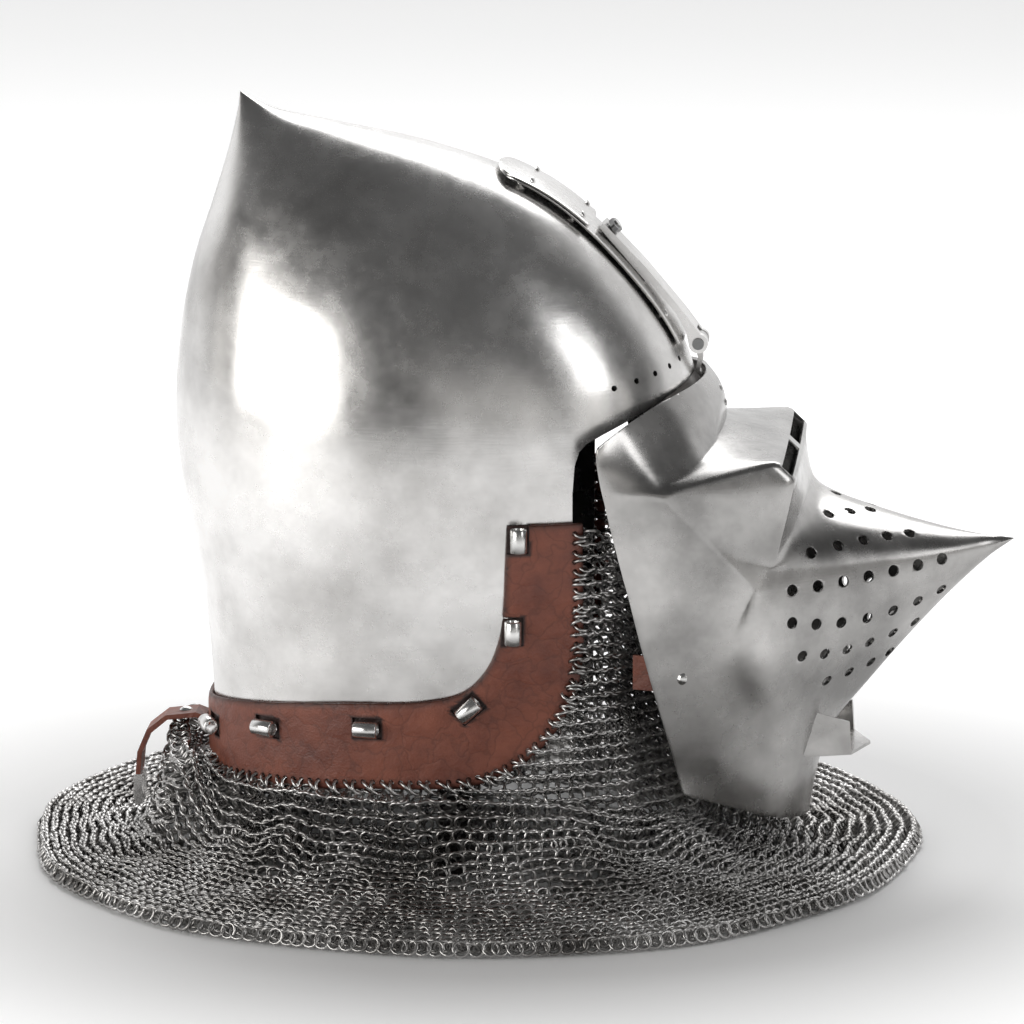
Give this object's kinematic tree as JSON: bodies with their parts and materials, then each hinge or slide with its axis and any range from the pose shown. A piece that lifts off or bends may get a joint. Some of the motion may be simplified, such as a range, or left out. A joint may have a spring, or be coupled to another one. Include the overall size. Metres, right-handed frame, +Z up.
{
  "type": "knight helmet",
  "caption": "Pointed steel helmet with a lift-up pointed visor on a brow hinge, a leather band on tubular staples and a ring-mail collar spread round its foot.",
  "frame": {"origin": "centre of the footprint of the spread mail and the visor tip, on the table plane", "axes": "+X forward along the snout, +Y to the wearer's left, +Z up"},
  "size_m": [0.518, 0.478, 0.396],
  "materials": {
    "plate_steel": "polished, slightly hammered",
    "visor_steel": "satin polished",
    "fitting_steel": "polished",
    "dark_steel": "satin, darker",
    "mail_steel": "oiled, darker than the plates",
    "brown_leather": "reddish brown, waxed",
    "dark_leather": "dark brown",
    "black_padding": "quilted, matt"
  },
  "bodies": {
    "skull": {"skull_bowl": "plate_steel", "hinge_base_plate": "plate_steel", "hinge_cover_plate": "plate_steel", "base_plate_rivets": "fitting_steel", "strap_staple": "fitting_steel", "hinge_strap": "plate_steel", "hinge_pin": "dark_steel", "leather_band": "brown_leather", "band_staples_right": "fitting_steel", "band_staples_left": "fitting_steel", "edge_rings_right": "mail_steel", "edge_rings_left": "mail_steel", "edge_rings_rear": "mail_steel", "mail_curtain": "mail_steel", "mail_skirt": "mail_steel", "liner_pad": "black_padding", "liner_rim": "dark_leather", "chin_strap_right": "dark_leather", "chin_strap_left": "dark_leather", "chin_buckle": "fitting_steel", "chin_strap_rivets": "fitting_steel", "rear_strap": "brown_leather", "rear_strap_tip": "fitting_steel", "rear_strap_rivet": "fitting_steel"},
    "visor": {"visor_plate": "visor_steel", "mouth_box": "visor_steel", "visor_leaf": "visor_steel", "visor_leaf_rivets": "fitting_steel", "visor_tab_right": "brown_leather", "visor_tab_left": "brown_leather", "visor_tab_rivets": "fitting_steel"},
    "turn_key": {"turn_pin": "dark_steel"},
    "prong": {"buckle_prong": "dark_steel"}
  },
  "joints": [
    {"name": "visor_lift", "type": "hinge", "parent": "skull", "child": "visor", "pos_m": [0.0965, 0, 0.269], "axis": [0, -1, 0], "range_deg": [0, 105]},
    {"name": "key_turn", "type": "hinge", "parent": "skull", "child": "turn_key", "pos_m": [0.05132, 0, 0.32726], "axis": [0.7474, 0, 0.6644], "range_deg": [0, 90]},
    {"name": "prong_swing", "type": "hinge", "parent": "skull", "child": "prong", "pos_m": [-0.024, 0.0826, 0.04], "axis": [-1, 0, 0], "range_deg": [0, 120]}
  ]
}
